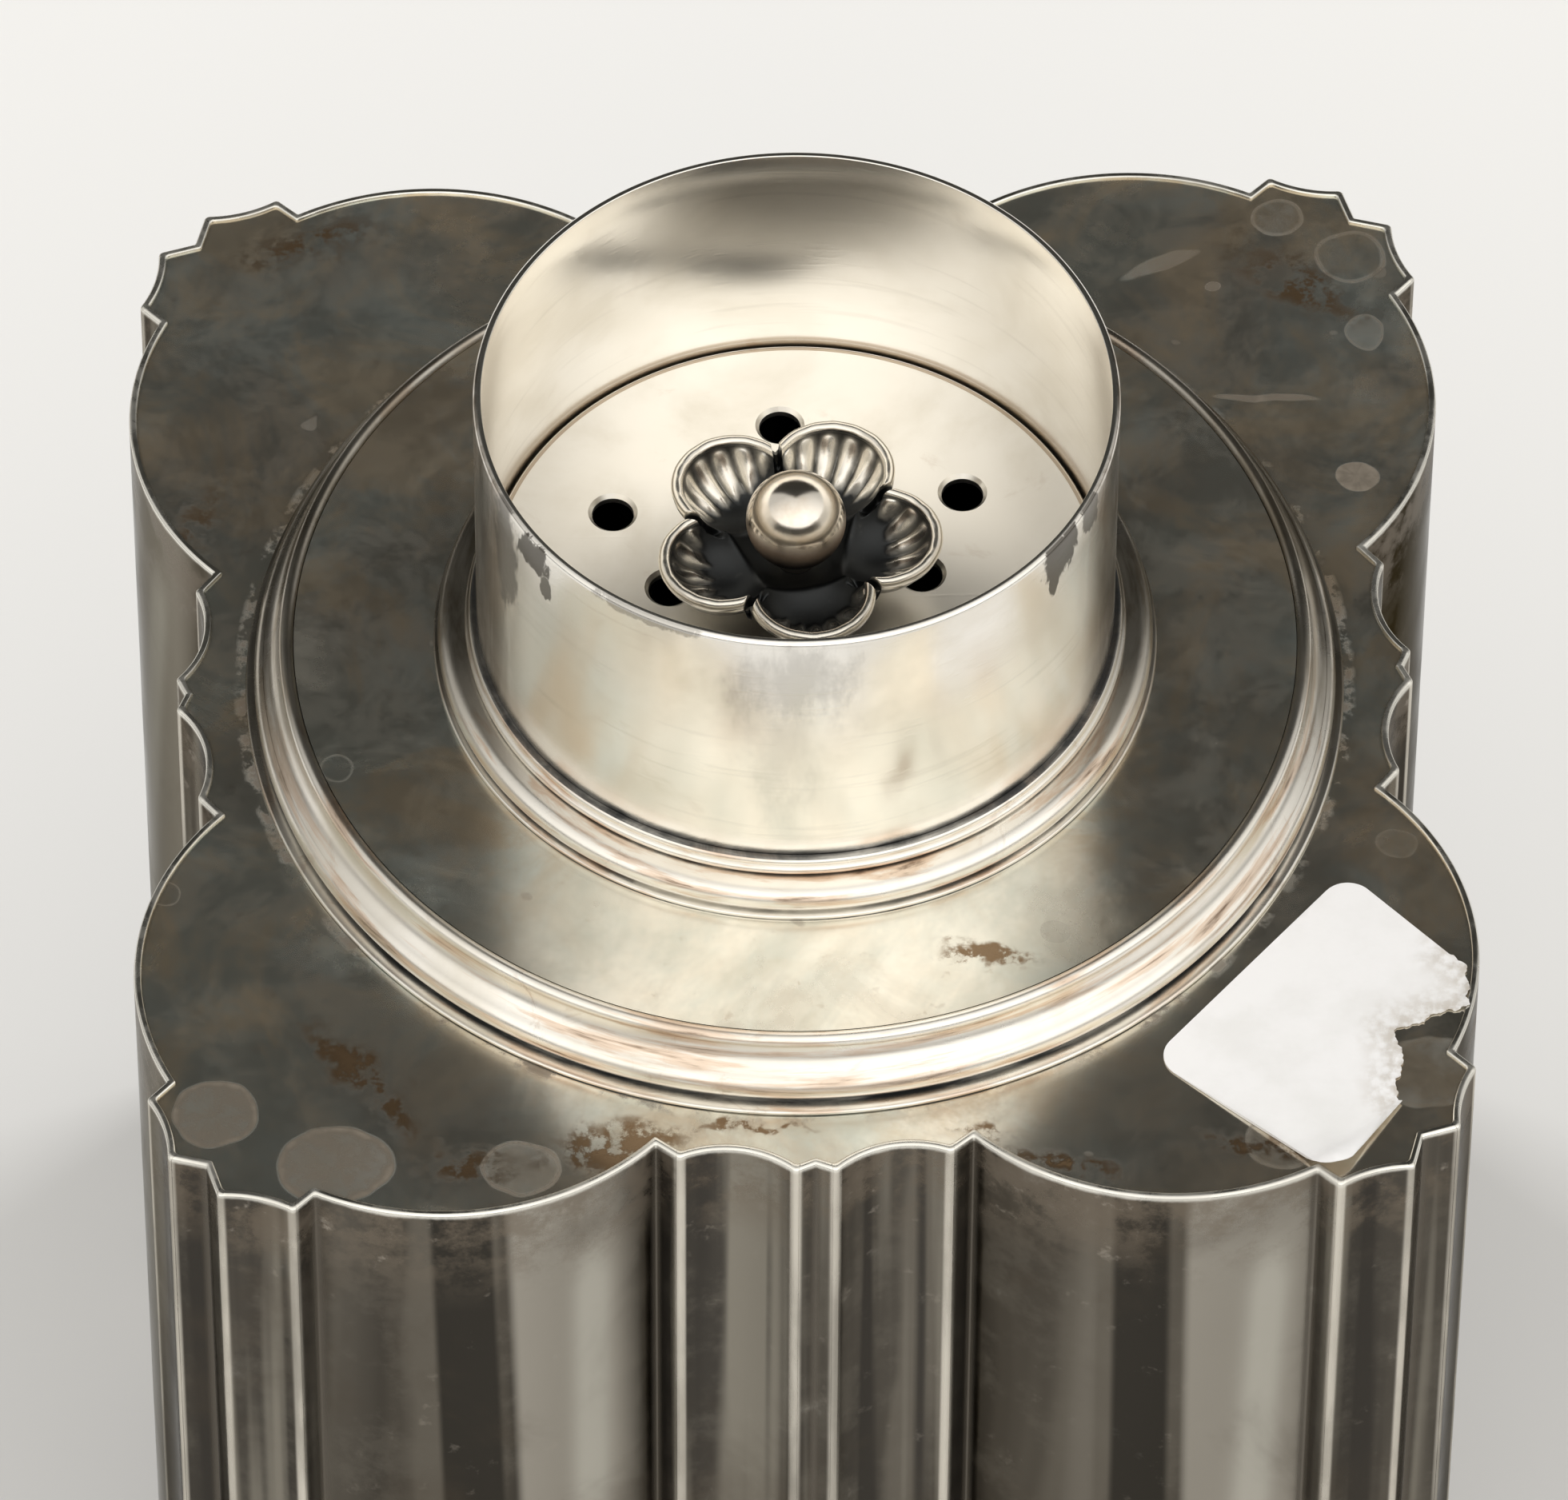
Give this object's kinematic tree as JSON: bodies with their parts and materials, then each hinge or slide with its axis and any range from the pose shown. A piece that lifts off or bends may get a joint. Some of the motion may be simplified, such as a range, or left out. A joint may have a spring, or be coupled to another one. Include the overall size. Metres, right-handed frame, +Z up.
{
  "type": "tea caddy",
  "caption": "Lobed metal tea caddy with reeded corners, a stepped shoulder, a plain round neck and a pierced lift-out inner lid with a flower knob.",
  "frame": {"origin": "centre of the base plate's underside, where the caddy stands", "axes": "+Z up along the neck, -Y towards the front face, +X to the right seen from the front"},
  "size_m": [0.1058, 0.1058, 0.145],
  "materials": {
    "wall_metal": "tarnished silver",
    "shoulder_metal": "tarnished silver",
    "bright_metal": "worn bright silver",
    "oxidised_metal": "oxidised silver with bright high spots"
  },
  "bodies": {
    "caddy": {"base_plate": "wall_metal", "wall_front_right": "wall_metal", "wall_back_right": "wall_metal", "wall_back_left": "wall_metal", "wall_front_left": "wall_metal", "shoulder_plate": "shoulder_metal", "shoulder_moulding": "bright_metal", "dished_ring": "shoulder_metal", "neck_moulding": "bright_metal", "neck_foot_ring": "bright_metal", "neck_collar": "bright_metal", "lid_ledge": "bright_metal"},
    "inner_lid": {"inner_lid_plate": "bright_metal", "inner_lid_skirt": "bright_metal", "flower_petals": "oxidised_metal", "flower_ball": "bright_metal", "knob_post": "oxidised_metal", "post_nut": "bright_metal"}
  },
  "joints": [
    {"name": "inner_lid_lift", "type": "slide", "parent": "caddy", "child": "inner_lid", "axis": [0, 0, 1], "range_m": [0, 0.045]}
  ]
}
